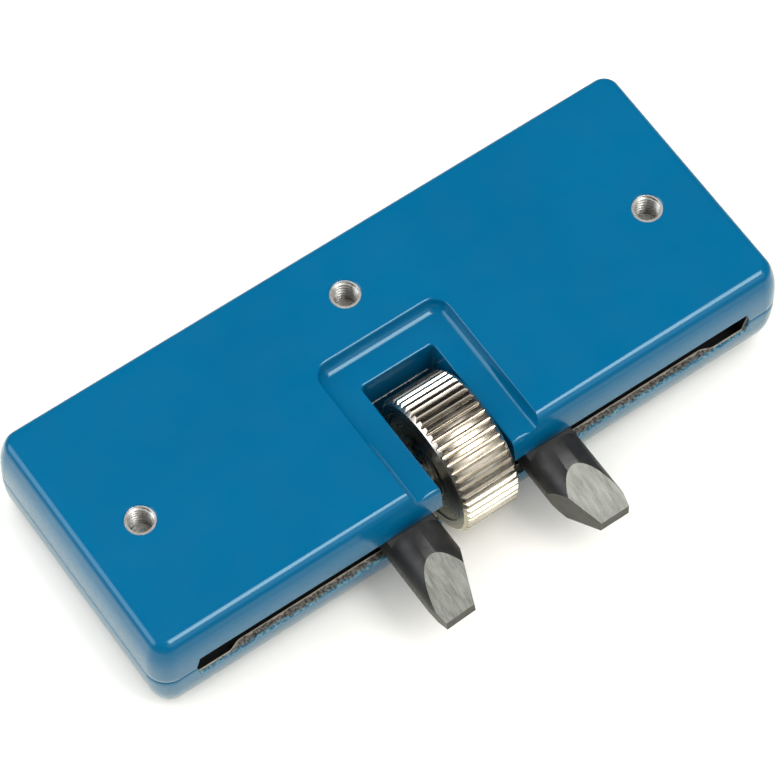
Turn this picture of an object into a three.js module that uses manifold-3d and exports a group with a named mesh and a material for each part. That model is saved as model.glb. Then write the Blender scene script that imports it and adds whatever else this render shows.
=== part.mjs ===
// Two-pin watch case back opener: a pocket wrench whose pins are spread by a thumbwheel.
// Millimetres. +X runs along the body, -Y towards the pins, +Z towards the face with the tapped holes.
// The origin is the plan centre of the body's bottom face.
import * as THREE from 'three';
import { mergeVertices } from 'three/addons/utils/BufferGeometryUtils.js';
import Module from 'manifold-3d';

const wasm = await Module();
wasm.setup();

// ---- Driving dimensions ----

// Plan sizes are at the seam between the two shells, where the drafted walls reach furthest out.
const body = {
  length: 73.64,
  depth: 29.42,
  height: 12.1,
  cornerRadius: 2.4,
  draft: 0.6, // how far the walls lean in between the seam and either face
  edgeRadius: 1.1,
};
const axisSetback = 5.3; // leadscrew axis behind the front of the seam

const wheel = {
  radius: 7.4,
  width: 6.5,
  teeth: 50,
  toothDepth: 0.32,
  crestWidth: 0.39,
  rootWidth: 0.11,
  chamfer: 0.45,
  offset: 0.35, // where the wheel is pressed on, from the middle of the leadscrew
};
const windowGap = { side: 1, back: 1.15 }; // air beside and behind the wheel

// Recess of the top face around the wheel's window, open to the front.
const pocket = { depth: 1.4, sideMargin: 3.25, backMargin: 3.55, wallRun: 1, cornerRadius: 1.75 };

// Slot of the front face: the pins' necks pass through it.
const slot = {
  endWall: 4.67, // body end to slot end
  endDraft: 0.5, // the slot's ends run out to a point at the seam
  lip: 1.05, // thickness of the wall that the slot is cut through
  thinLip: 0.55, // the same wall in the casting relief at each end
  reliefLength: 4.2,
};

const leadscrew = {
  threadRadius: 2,
  seatRadius: 2.5,
  journalRadius: 1.5,
  journalLength: 2.2,
  endChamfer: 0.3,
};

const pin = {
  radius: 3.05,
  projection: 9.8, // tip in front of the seam
  tail: 3.6, // behind the leadscrew axis
  tailChamfer: 0.4,
  neckThickness: 3.1,
  shoulderGap: 0.8, // full round starts this far in front of the seam
  spacing: 16.26, // between the pins' axes
};
// Ground end of a pin, a blunt blade.
const tip = {
  thickness: 1.5,
  flatLength: 5.8,
  innerLand: 0.73, // blade edge inside the pin's axis
  bevelLength: 5.7,
  outerLand: 2.57, // blade edge outside the pin's axis
  reliefLength: 3,
};

const screw = {
  radius: 1.5,
  length: 6,
  headRadius: 2.75,
  headHeight: 2,
  headChamfer: 0.25,
  endChamfer: 0.3,
  driveWidth: 0.9,
  driveSpan: 3.4,
  driveDepth: 1.1,
  counterbore: 3, // height of the seat above the bottom face
  endInset: 7.09, // axes of the two end screws from the body's ends
  endSetback: 13.5, // and behind its front
  rearInset: 6.87, // axis of the rear screw from the body's back
};

const clearance = {
  slide: 0.15, // around a pin in the channel and slot
  thread: 0.15, // between the leadscrew and a pin's tapped cross hole, on the radius
  tapped: 0.05, // between a shell screw and its tapped hole, on the radius
  journal: 0.15, // around a leadscrew journal, on the radius
  end: 0.3, // at the ends of what slides or turns
  shank: 0.15, // around a screw shank in the lower shell, on the radius
  head: 0.25, // around a screw head in its counterbore, on the radius
};

const segments = { turned: 40, cornerArc: 8, edgeRound: 3 };

// ---- Derived places ----

const frontY = -body.depth / 2;
const axisY = frontY + axisSetback;
const seamZ = body.height / 2; // both shells are as high, and the leadscrew lies between them
const slotHalfLength = body.length / 2 - slot.endWall;
const slotHalfHeight = pin.neckThickness / 2 + clearance.slide;
const windowHalfWidth = wheel.width / 2 + windowGap.side;
const windowBackY = axisY + wheel.radius + windowGap.back;
const beyond = 5; // how far a cutter runs past the surface that it opens

const screwPlaces = {
  left: [-body.length / 2 + screw.endInset, frontY + screw.endSetback],
  right: [body.length / 2 - screw.endInset, frontY + screw.endSetback],
  rear: [0, body.depth / 2 - screw.rearInset],
};

// ---- Finishes ----

const finishes = {
  bluePaint: { color: 0x0073a5, roughness: 0.22, metalness: 0.1 },
  nickel: { color: 0xd9d6cc, roughness: 0.28, metalness: 1 },
  blackOxide: { color: 0x2b2b2c, roughness: 0.42, metalness: 0.8 },
  zincSteel: { color: 0xb9b8b2, roughness: 0.35, metalness: 1 },
};

// ---- Solids ----

// A closed three.js geometry as a solid that can be joined and cut.
function toSolid(geometry) {
  geometry.deleteAttribute('normal');
  geometry.deleteAttribute('uv');
  const merged = mergeVertices(geometry, 1e-5);
  const corners = merged.index.array;
  const triVerts = [];
  for (let i = 0; i < corners.length; i += 3) {
    const [a, b, c] = corners.subarray(i, i + 3);
    if (a !== b && b !== c && c !== a) triVerts.push(a, b, c);
  }
  const vertProperties = Float32Array.from(merged.attributes.position.array);
  return new wasm.Manifold(
    new wasm.Mesh({ numProp: 3, vertProperties, triVerts: Uint32Array.from(triVerts) }),
  );
}

function toGeometry(solid) {
  const { vertProperties, triVerts } = solid.getMesh();
  const geometry = new THREE.BufferGeometry();
  geometry.setAttribute('position', new THREE.BufferAttribute(vertProperties, 3));
  geometry.setIndex(new THREE.BufferAttribute(triVerts, 1));
  const flat = geometry.toNonIndexed();
  flat.computeVertexNormals();
  return flat;
}

const unit = {
  x: new THREE.Vector3(1, 0, 0),
  y: new THREE.Vector3(0, 1, 0),
  z: new THREE.Vector3(0, 0, 1),
  minusY: new THREE.Vector3(0, -1, 0),
};

// Straight prism between two stations of an axis. The outline is drawn in the other two
// axes: (y, z) for an x prism, (x, z) for a y prism and (x, y) for a z prism.
function prism(axis, outline, from, to) {
  const geometry = new THREE.ExtrudeGeometry(outline, {
    depth: to - from,
    bevelEnabled: false,
    curveSegments: segments.cornerArc / 2,
  });
  const matrix = new THREE.Matrix4();
  if (axis === 'x') {
    matrix.makeBasis(unit.y, unit.z, unit.x).setPosition(from, 0, 0);
  } else if (axis === 'y') {
    matrix.makeBasis(unit.x, unit.z, unit.minusY).setPosition(0, to, 0);
  } else {
    matrix.setPosition(0, 0, from);
  }
  return toSolid(geometry.applyMatrix4(matrix));
}

// Turned solid about an axis. The profile is a list of [radius, station], stations rising.
function turned(axis, profile, count = segments.turned) {
  const points = profile.map(([radius, station]) => new THREE.Vector2(radius, station));
  const geometry = new THREE.LatheGeometry(points, count);
  const matrix = new THREE.Matrix4();
  if (axis === 'x') matrix.makeBasis(unit.z, unit.x, unit.y);
  if (axis === 'z') matrix.makeBasis(unit.y, unit.z, unit.x);
  return toSolid(geometry.applyMatrix4(matrix));
}

function rod(axis, radius, from, to) {
  return turned(axis, [[0, from], [radius, from], [radius, to], [0, to]]);
}

function polygon(points) {
  return new THREE.Shape(points.map(([u, v]) => new THREE.Vector2(u, v)));
}

function rectangle(u0, u1, v0, v1) {
  return polygon([[u0, v0], [u1, v0], [u1, v1], [u0, v1]]);
}

function box(x0, x1, y0, y1, z0, z1) {
  return prism('z', rectangle(x0, x1, y0, y1), z0, z1);
}

function roundedRectangle(u0, u1, v0, v1, radius) {
  const outline = new THREE.Shape();
  outline.absarc(u1 - radius, v0 + radius, radius, -Math.PI / 2, 0);
  outline.absarc(u1 - radius, v1 - radius, radius, 0, Math.PI / 2);
  outline.absarc(u0 + radius, v1 - radius, radius, Math.PI / 2, Math.PI);
  outline.absarc(u0 + radius, v0 + radius, radius, Math.PI, Math.PI * 1.5);
  return outline;
}

// ---- Shells ----

// The body's outline grown from both faces to the seam. The walls lean by the angle, and
// the outline at the faces is inset.
function doubleTaper(angle, inset) {
  const { length, depth, cornerRadius } = body;
  const outline = roundedRectangle(-length / 2, length / 2, -depth / 2, depth / 2, cornerRadius);
  const geometry = new THREE.ExtrudeGeometry(outline, {
    depth: 0,
    bevelThickness: seamZ,
    bevelSize: seamZ * Math.tan(angle),
    bevelOffset: -inset,
    bevelSegments: 1,
    curveSegments: segments.cornerArc / 2,
  });
  return toSolid(geometry.translate(0, 0, seamZ));
}

// Both shells in one. Every facet of the round edges is one more double taper to trim to.
function bodyBlock() {
  const { draft, edgeRadius } = body;
  const draftAngle = Math.atan(draft / seamZ);
  const roundCentre = draft + edgeRadius * (1 / Math.cos(draftAngle) - Math.tan(draftAngle));
  const step = (Math.PI / 2 - draftAngle) / (segments.edgeRound + 1);
  let block = doubleTaper(draftAngle, draft);
  for (let facet = 1; facet <= segments.edgeRound; facet += 1) {
    const angle = draftAngle + facet * step;
    const inset = roundCentre - edgeRadius * (1 / Math.cos(angle) - Math.tan(angle));
    block = block.intersect(doubleTaper(angle, inset));
  }
  return block;
}

// Everything of the body between two heights.
function slice(z0, z1) {
  const x = body.length / 2 + beyond;
  const y = body.depth / 2 + beyond;
  return bodyBlock().intersect(box(-x, x, -y, y, z0, z1));
}

// The channel that the pins' tails slide along, wider in front at its two ends.
function channelCutter() {
  const lipY = frontY + slot.lip;
  const thinLipY = frontY + slot.thinLip;
  const backY = axisY + pin.tail + clearance.end;
  const reliefX = slotHalfLength - slot.reliefLength;
  const outline = polygon([
    [-slotHalfLength, thinLipY],
    [-reliefX, thinLipY],
    [-reliefX, lipY],
    [reliefX, lipY],
    [reliefX, thinLipY],
    [slotHalfLength, thinLipY],
    [slotHalfLength, backY],
    [-slotHalfLength, backY],
  ]);
  const halfHeight = pin.radius + clearance.slide;
  return prism('z', outline, seamZ - halfHeight, seamZ + halfHeight);
}

// The slot through the front wall, its ends drawn out to a point at the seam.
function slotCutter() {
  const pointX = slotHalfLength + slot.endDraft;
  const outline = polygon([
    [-slotHalfLength, seamZ - slotHalfHeight],
    [slotHalfLength, seamZ - slotHalfHeight],
    [pointX, seamZ],
    [slotHalfLength, seamZ + slotHalfHeight],
    [-slotHalfLength, seamZ + slotHalfHeight],
    [-pointX, seamZ],
  ]);
  return prism('y', outline, frontY - beyond, frontY + slot.lip);
}

// The window right through the body, open to the front, that the wheel turns in.
function windowCutter() {
  const top = body.height + beyond;
  return box(-windowHalfWidth, windowHalfWidth, frontY - beyond, windowBackY, -beyond, top);
}

// The sockets at both ends that the leadscrew's journals turn in.
function journalCutter() {
  const radius = leadscrew.journalRadius + clearance.journal;
  const end = slotHalfLength + leadscrew.journalLength;
  return rod('x', radius, -end, end).translate(0, axisY, seamZ);
}

// The recess around the window. Its floor runs up into the side walls in a round.
function pocketCutter() {
  const halfWidth = windowHalfWidth + pocket.sideMargin;
  const backY = windowBackY + pocket.backMargin;
  const outline = roundedRectangle(
    -halfWidth, halfWidth, frontY - 2 * beyond, backY, pocket.cornerRadius,
  );
  const geometry = new THREE.ExtrudeGeometry(outline, {
    depth: beyond,
    bevelThickness: pocket.depth,
    bevelSize: pocket.wallRun,
    bevelOffset: -pocket.wallRun,
    bevelSegments: segments.edgeRound,
    curveSegments: segments.cornerArc / 2,
  });
  return toSolid(geometry.translate(0, 0, body.height));
}

function innerCuts(shell) {
  return shell
    .subtract(channelCutter())
    .subtract(slotCutter())
    .subtract(windowCutter())
    .subtract(journalCutter());
}

function upperShell() {
  let shell = innerCuts(slice(seamZ, body.height + beyond)).subtract(pocketCutter());
  const radius = screw.radius + clearance.tapped;
  for (const [x, y] of Object.values(screwPlaces)) {
    const tappedHole = rod('z', radius, seamZ - beyond, body.height + beyond);
    shell = shell.subtract(tappedHole.translate(x, y, 0));
  }
  return shell;
}

function lowerShell() {
  let shell = innerCuts(slice(-beyond, seamZ));
  for (const [x, y] of Object.values(screwPlaces)) {
    const hole = rod('z', screw.radius + clearance.shank, -beyond, seamZ + beyond);
    const counterbore = rod('z', screw.headRadius + clearance.head, -beyond, screw.counterbore);
    shell = shell.subtract(hole.add(counterbore).translate(x, y, 0));
  }
  return shell;
}

// ---- Shell screws ----

// Local frame: shank up from the head's seat.
function shellScrew() {
  const { radius, length, headRadius, headHeight, headChamfer, endChamfer } = screw;
  const blank = turned('z', [
    [0, -headHeight],
    [headRadius - headChamfer, -headHeight],
    [headRadius, headChamfer - headHeight],
    [headRadius, 0],
    [radius, 0],
    [radius, length - endChamfer],
    [radius - endChamfer, length],
    [0, length],
  ]);
  const half = screw.driveWidth / 2;
  const span = screw.driveSpan / 2;
  const floor = screw.driveDepth - headHeight;
  const drive = box(-span, span, -half, half, -headHeight - beyond, floor)
    .add(box(-half, half, -span, span, -headHeight - beyond, floor));
  return blank.subtract(drive);
}

// ---- Leadscrew and thumbwheel ----

// Local frame: the axis is X. The left half is threaded right-handed and the right half
// left-handed, so both pins move apart together. Threads are modelled plain.
function leadscrewSolid() {
  const { threadRadius, seatRadius, journalRadius, journalLength, endChamfer } = leadscrew;
  const shoulder = slotHalfLength - clearance.end;
  const end = shoulder + journalLength;
  const seatStart = wheel.offset - wheel.width / 2;
  const seatEnd = wheel.offset + wheel.width / 2;
  return turned('x', [
    [0, -end],
    [journalRadius - endChamfer, -end],
    [journalRadius, endChamfer - end],
    [journalRadius, -shoulder],
    [threadRadius, -shoulder],
    [threadRadius, seatStart],
    [seatRadius, seatStart],
    [seatRadius, seatEnd],
    [threadRadius, seatEnd],
    [threadRadius, shoulder],
    [journalRadius, shoulder],
    [journalRadius, end - endChamfer],
    [journalRadius - endChamfer, end],
    [0, end],
  ]);
}

// Cross section of the straight knurl: narrow grooves between flat crests.
function knurlOutline() {
  const pitch = (2 * Math.PI) / wheel.teeth;
  const rootRadius = wheel.radius - wheel.toothDepth;
  const crestHalf = wheel.crestWidth / 2 / wheel.radius;
  const rootHalf = wheel.rootWidth / 2 / rootRadius;
  const points = [];
  for (let tooth = 0; tooth < wheel.teeth; tooth += 1) {
    const crest = tooth * pitch;
    const root = crest + pitch / 2;
    for (const angle of [crest - crestHalf, crest + crestHalf]) {
      points.push([wheel.radius * Math.cos(angle), wheel.radius * Math.sin(angle)]);
    }
    for (const angle of [root - rootHalf, root + rootHalf]) {
      points.push([rootRadius * Math.cos(angle), rootRadius * Math.sin(angle)]);
    }
  }
  return polygon(points);
}

// Local frame: the axis is X, and the wheel is centred on the origin.
function thumbwheelSolid() {
  const half = wheel.width / 2;
  const { radius, chamfer, teeth } = wheel;
  const knurled = prism('x', knurlOutline(), -half, half);
  const chamfered = turned('x', [
    [0, -half],
    [radius - chamfer, -half],
    [radius + chamfer, 2 * chamfer - half],
    [radius + chamfer, half - 2 * chamfer],
    [radius - chamfer, half],
    [0, half],
  ], teeth);
  const bore = rod('x', leadscrew.seatRadius, -half - beyond, half + beyond);
  return knurled.intersect(chamfered).subtract(bore);
}

// ---- Pins ----

// Wedges that grind a pin's round end to a blade. side is +1 on the right pin.
function tipCutters(side, tipY) {
  const { radius } = pin;
  const flatY = tipY + tip.flatLength;
  const bevelY = tipY + tip.bevelLength;
  const reliefY = tipY + tip.reliefLength;
  const wide = radius + beyond;
  // The flats' and bevels' lines are carried on past the end of the pin.
  const past = (from, to, run) => to + ((to - from) * beyond) / run;
  const flatZ = past(radius, tip.thickness / 2, tip.flatLength);
  const innerX = past(-radius, -tip.innerLand, tip.bevelLength);
  const outerX = past(radius, tip.outerLand, tip.reliefLength);
  const endY = tipY - beyond;
  const cutters = [1, -1].map((up) => prism('x', polygon([
    [flatY, up * radius],
    [endY, up * flatZ],
    [endY, up * wide],
    [flatY, up * wide],
  ]), -wide, wide));
  cutters.push(prism('z', polygon([
    [-side * radius, bevelY],
    [side * innerX, endY],
    [-side * wide, endY],
    [-side * wide, bevelY],
  ]), -wide, wide));
  cutters.push(prism('z', polygon([
    [side * radius, reliefY],
    [side * outerX, endY],
    [side * wide, endY],
    [side * wide, reliefY],
  ]), -wide, wide));
  return cutters;
}

// Local frame: the pin lies along Y, and the leadscrew crosses it along X at the origin.
function pinSolid(side) {
  const { radius, tail, tailChamfer, neckThickness } = pin;
  const tipY = -axisSetback - pin.projection;
  let solid = turned('y', [
    [0, tipY],
    [radius, tipY],
    [radius, tail - tailChamfer],
    [radius - tailChamfer, tail],
    [0, tail],
  ]);
  const neckFront = -axisSetback - pin.shoulderGap;
  const neckBack = -axisSetback + slot.lip + clearance.end;
  const wide = radius + beyond;
  solid = solid
    .subtract(box(-wide, wide, neckFront, neckBack, neckThickness / 2, wide))
    .subtract(box(-wide, wide, neckFront, neckBack, -wide, -neckThickness / 2))
    .subtract(rod('x', leadscrew.threadRadius + clearance.thread, -wide, wide));
  for (const cutter of tipCutters(side, tipY)) solid = solid.subtract(cutter);
  return solid;
}

// ---- Assembly ----

function piece(name, solid, finish, position = [0, 0, 0]) {
  const mesh = new THREE.Mesh(toGeometry(solid), new THREE.MeshStandardMaterial(finish));
  mesh.name = name;
  mesh.position.set(...position);
  return mesh;
}

const caseBackOpener = new THREE.Group();

const housing = new THREE.Group();
housing.add(piece('upper_shell', upperShell(), finishes.bluePaint));
housing.add(piece('lower_shell', lowerShell(), finishes.bluePaint));
for (const [place, [x, y]] of Object.entries(screwPlaces)) {
  const seat = [x, y, screw.counterbore];
  housing.add(piece(`shell_screw_${place}`, shellScrew(), finishes.zincSteel, seat));
}
caseBackOpener.add(housing);

const drive = new THREE.Group();
drive.position.set(0, axisY, seamZ);
drive.add(piece('leadscrew', leadscrewSolid(), finishes.zincSteel));
drive.add(piece('thumbwheel', thumbwheelSolid(), finishes.nickel, [wheel.offset, 0, 0]));
for (const [name, side] of [['left_pin', -1], ['right_pin', 1]]) {
  const place = [(side * pin.spacing) / 2, 0, 0];
  drive.add(piece(name, pinSolid(side), finishes.blackOxide, place));
}
caseBackOpener.add(drive);

export default caseBackOpener;
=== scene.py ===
"""Looks of the watch case back opener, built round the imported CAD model.

Helpers work in millimetres in the model's frame: X along the body, -Y towards the pins, +Z up.
"""

import math
import random

import bpy
from mathutils import Matrix, Vector


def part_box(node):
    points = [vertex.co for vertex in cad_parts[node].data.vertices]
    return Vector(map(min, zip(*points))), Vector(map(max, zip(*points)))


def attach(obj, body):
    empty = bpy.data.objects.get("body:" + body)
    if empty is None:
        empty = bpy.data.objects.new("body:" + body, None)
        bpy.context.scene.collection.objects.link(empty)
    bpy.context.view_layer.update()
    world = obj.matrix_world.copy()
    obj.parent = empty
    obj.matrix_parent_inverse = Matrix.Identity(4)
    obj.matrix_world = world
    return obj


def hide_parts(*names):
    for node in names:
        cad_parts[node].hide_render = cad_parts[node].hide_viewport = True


MM = 0.001

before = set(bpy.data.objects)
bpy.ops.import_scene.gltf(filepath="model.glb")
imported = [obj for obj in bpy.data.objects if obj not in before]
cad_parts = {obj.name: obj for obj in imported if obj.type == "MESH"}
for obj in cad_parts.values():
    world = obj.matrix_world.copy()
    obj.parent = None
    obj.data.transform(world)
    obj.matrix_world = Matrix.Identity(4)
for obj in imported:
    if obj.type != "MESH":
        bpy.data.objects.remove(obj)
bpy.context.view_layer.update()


def box_mm(node):
    """Lowest and highest corners of a CAD node, in millimetres."""
    low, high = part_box(node)
    return low / MM, high / MM


# ---- Places taken from the frame ----

upper_low, upper_high = box_mm("upper_shell")
wheel_low, wheel_high = box_mm("thumbwheel")
screw_low, screw_high = box_mm("leadscrew")

FRONT = upper_low.y
BACK = upper_high.y
LEFT = upper_low.x
RIGHT = upper_high.x
TOP = upper_high.z
SEAM = upper_low.z
AXIS_Y = (screw_low.y + screw_high.y) / 2
AXIS = Vector((0, AXIS_Y, SEAM))
WHEEL_RADIUS = (wheel_high.y - wheel_low.y) / 2

# ---- Shell details ----

CORNER_RADIUS = 2.4
DRAFT = 0.6
EDGE_RADIUS = 1.1
WALL_TOP = TOP - SEAM - EDGE_RADIUS  # from the seam to where a face's round edge starts
WALL_BOW = 3.0  # the walls lean most just under the faces' round edges
SEAM_ROUND = {1: 0.12, -1: 0.28}  # on the upper and the lower shell
WINDOW_HALF = 4.25
WINDOW_CLEARANCE = 1.15  # behind the wheel
WINDOW_BACK = AXIS_Y + WHEEL_RADIUS + WINDOW_CLEARANCE
WINDOW_CORNER = 0.45
WINDOW_RIM = 0.16
POCKET_DEPTH = 1.4
POCKET_SIDE = 3.25  # from the window to the pocket's wall
POCKET_REAR = 3.55
POCKET_HALF = WINDOW_HALF + POCKET_SIDE
POCKET_BACK = WINDOW_BACK + POCKET_REAR
POCKET_FLOOR = TOP - POCKET_DEPTH
POCKET_CORNER = 1.75
POCKET_RIM = 0.22
COVE_RUN = 1.0
COVE_TURN = math.pi / 2 * 0.94
FLOOR_EDGE = 0.35  # round of the pocket floor's front edge
FLOOR_EDGE_FADE = ((0, 0.1), (0.6, 0.75), (1.4, 1))  # distance from a cove, share of the round
SLOT_END_WALL = 4.67
SLOT_HALF_LENGTH = RIGHT - SLOT_END_WALL
SLOT_HALF_HEIGHT = 1.7
SLOT_POINT = 0.5
LIP = 1.05  # thickness of the front wall over the slot
THIN_LIP = 0.55  # the same in the relief at each end
RELIEF_LENGTH = 4.2
RELIEF_BLEND = 1.5
RELIEF_START = SLOT_HALF_LENGTH - RELIEF_LENGTH
CHANNEL_HALF_HEIGHT = 3.2
CHANNEL_BACK = AXIS_Y + 3.9
JOURNAL_HOLE = 1.65
JOURNAL_SOCKET = 2.2
TAPPED_RADIUS = 1.55
HOLE_CHAMFER = 0.12
SHANK_HOLE = 1.65
COUNTERBORE_RADIUS = 3.0
COUNTERBORE_DEPTH = 3.0
FLASH_SIZE = 0.16
FLASH_HEIGHT = 0.6  # half the flash's thickness over its width
FLASH_SINK = 0.05  # into the window's wall
FLASH_STEPS = 90
FLASH_SEED = 5

# ---- Threads and screws ----

M4 = {"radius": 2.0, "depth": 0.42, "pitch": 0.7}
M3 = {"radius": 1.5, "depth": 0.28, "pitch": 0.5}
FLANK_SLOPE = 1.3
FLANK_FLAT = 0.15
RUN_OUT_DEPTH = 0.25  # of the thread's depth: how far the crest sinks at a thread's ends
MOUTH_RATE = 6  # how much quicker a tapped thread fills out at its mouth
TAPPED_CREST = 1.24
GROOVE_SHADE_SHARE = 0.55  # of the thread's depth: deeper than this gets a painted shade
SLEEVE_WALL = 0.03  # from the tapped thread's deepest point into the shell
SLEEVE_RISE = 0.1  # above the seam
LEADSCREW = {"journal": 1.5, "chamfer": 0.3, "seat": 2.5, "end_gap": 0.3}
SCREW = {"head": 2.75, "height": 2, "neck": 1.45, "tip": 1.15, "tip_length": 0.3, "neck_length": 0.1}
SCREW_CROWN = ((0.35, 0), (0.1, 0.12), (0, 0.35))  # how much thinner, distance from the end
DRIVE = {"width": 0.9, "span": 3.4, "depth": 1.1}
DRIVE_TAPER = ((0.05, 0), (-0.12, 0.55), (-0.28, DRIVE["depth"]))  # how much wider, depth

# ---- Wheel and pins ----

TEETH = 50
TOOTH_DEPTH = 0.32
CREST_SHARE = 0.42
ROOT_SHARE = 0.12
FLANK_EASE = 0.25  # how much of a flank's rise is rounded
TOOTH_SAMPLES = 14
WHEEL_CHAMFER = 0.45
CHAMFER_STEPS = 8
CHAMFER_OVERRUN = 0.02
WHEEL_BAND = 0.9  # width of the rim's flat band on each side
WHEEL_RECESS = 0.12
WHEEL_SLOPE = 0.15  # from the band down to the recess, and up to the hub
WHEEL_HUB = 3.25
WHEEL_BORE = 2.55
PIN_TIP = {"thickness": 1.5, "flat": 5.8, "inner": 0.73, "bevel": 5.7, "outer": 2.57, "relief": 3.0}
PIN_TAIL = ((0, 0.45), (0.12, 0.2), (0.4, 0))  # how much thinner, distance from the end
PIN_BORE = 2.15
NECK_HALF = 1.55
NECK_FRONT = FRONT - 0.8
NECK_BACK = FRONT + LIP + 0.3
LEFT_PIN_ROLL = math.radians(-7)

# ---- Modelling ----

FAR = 6.0  # how far a cutter runs past what it opens
HAIR = 0.001  # a step between two rings that would meet
LEAST_RADIUS = 0.02
FLAT_AREA = 25.0  # planes with more area than this are shaded flat
EDGE_BREAK = 0.07  # on the shells and pins


def mesh_object(name, points, faces, materials, index=0):
    """A mesh object from points in millimetres."""
    mesh = bpy.data.meshes.new(name)
    mesh.from_pydata([Vector(p) * MM for p in points], [], faces)
    for material in materials:
        mesh.materials.append(material)
    for polygon in mesh.polygons:
        polygon.material_index = index
        polygon.use_smooth = True
    obj = bpy.data.objects.new(name, mesh)
    bpy.context.scene.collection.objects.link(obj)
    return obj


def faces_between(base, above, count):
    """Faces between two rings of points, by each ring's first point."""
    faces = []
    for i in range(count):
        j = (i + 1) % count
        faces.append([base + i, base + j, above + j, above + i])
    return faces


def loft(rings):
    """Points and faces of a closed solid through rings of equal length. The ends are capped."""
    count = len(rings[0])
    points = [p for ring in rings for p in ring]
    last = len(points) - count
    faces = [list(reversed(range(count)))]
    for base in range(0, last, count):
        faces += faces_between(base, base + count, count)
    faces.append(list(range(last, last + count)))
    return points, faces


def band(rings):
    """Points and faces of a closed band through rings, the last of them joined to the first."""
    count = len(rings[0])
    points = [p for ring in rings for p in ring]
    faces = []
    for base in range(0, len(points), count):
        faces += faces_between(base, (base + count) % len(points), count)
    return points, faces


def arc(centre, radius, start, end, steps):
    """Points of an arc, in degrees."""
    turns = [math.radians(start + (end - start) * i / steps) for i in range(steps + 1)]
    return [(centre[0] + radius * math.cos(t), centre[1] + radius * math.sin(t)) for t in turns]


def rounded_outline(x0, x1, y0, y1, radius, steps):
    """A rectangle with round corners. A corner never gets quite sharp."""
    radius = max(radius, LEAST_RADIUS)
    left, right = x0 + radius, x1 - radius
    near, far = y0 + radius, y1 - radius
    outline = []
    for centre, start in (((right, near), -90), ((right, far), 0), ((left, far), 90), ((left, near), 180)):
        outline += arc(centre, radius, start, start + 90, steps)
    return outline


def quarter_turns(steps):
    """Angles from 0 to a quarter turn."""
    return [math.pi / 2 * i / steps for i in range(steps + 1)]


def stacked(outline_at, profile):
    """Rings of a rounded block: outline_at(inset) at each (inset, height) of the profile."""
    return [[(x, y, z) for x, y in outline_at(inset)] for inset, z in profile]


def point_about(axis, centre, radius, turn, station):
    """The point at a radius and a turn about an axis, and at a station along it."""
    u, v = radius * math.cos(turn), radius * math.sin(turn)
    place = {"x": (station, u, v), "y": (v, station, u), "z": (u, v, station)}[axis]
    return tuple(Vector(place) + Vector(centre))


def turned_rings(axis, centre, profile, count):
    """Rings about an axis through the centre, one for each (radius, station) of the profile."""
    turns = [2 * math.pi * i / count for i in range(count)]
    rings = []
    for radius, station in profile:
        rings.append([point_about(axis, centre, radius, turn, station) for turn in turns])
    return rings


def prism(axis, outline, start, end):
    """Rings of a straight prism. The outline is in (y, z), (x, z) or (x, y)."""
    if axis == "x":
        return [[(s, u, v) for u, v in outline] for s in (start, end)]
    if axis == "y":
        return [[(u, s, v) for u, v in outline] for s in (end, start)]
    return [[(u, v, s) for u, v in outline] for s in (start, end)]


def solid(name, rings, materials, index=0):
    """A closed solid through the rings."""
    points, faces = loft(rings)
    return mesh_object(name, points, faces, materials, index)


def outward(obj):
    """Turns a lofted solid's faces outward, judged by its first end."""
    mesh = obj.data
    middle = sum((v.co for v in mesh.vertices), Vector()) / len(mesh.vertices)
    polygon = mesh.polygons[0]
    if polygon.normal.dot(polygon.center - middle) < 0:
        mesh.flip_normals()
    return obj


def cut(target, cutters):
    """Takes the cutters out of the target. Cut faces keep the cutters' material index."""
    for cutter in cutters:
        modifier = target.modifiers.new("cut", "BOOLEAN")
        modifier.operation = "DIFFERENCE"
        modifier.solver = "EXACT"
        modifier.material_mode = "INDEX"
        modifier.object = cutter
    bpy.context.view_layer.update()
    graph = bpy.context.evaluated_depsgraph_get()
    result = bpy.data.meshes.new_from_object(target.evaluated_get(graph))
    target.modifiers.clear()
    target.data = result
    for cutter in cutters:
        bpy.data.objects.remove(cutter)
    flatten_planes(target.data)
    return target


def flatten_planes(mesh):
    """Shades the pieces of each large plane flat, and all else smooth."""

    def plane_of(polygon):
        distance = polygon.normal.dot(polygon.center) / MM
        return tuple(round(v, 3) for v in (*polygon.normal, distance))

    areas = {}
    for polygon in mesh.polygons:
        plane = plane_of(polygon)
        areas[plane] = areas.get(plane, 0) + polygon.area / MM**2
    for polygon in mesh.polygons:
        polygon.use_smooth = areas[plane_of(polygon)] < FLAT_AREA


def soften(obj, width, segments=2, angle=38):
    """Rounds the sharp edges a little, so that they catch the light."""
    bevel = obj.modifiers.new("edge_round", "BEVEL")
    bevel.width = width * MM
    bevel.segments = segments
    bevel.limit_method = "ANGLE"
    bevel.angle_limit = math.radians(angle)
    bevel.use_clamp_overlap = True
    normals = obj.modifiers.new("normals", "WEIGHTED_NORMAL")
    normals.keep_sharp = True
    normals.weight = 100
    return obj


# ---- Materials ----

MIDDLE = (0.3, 0.7)  # most of a noise's values lie between these

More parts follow.
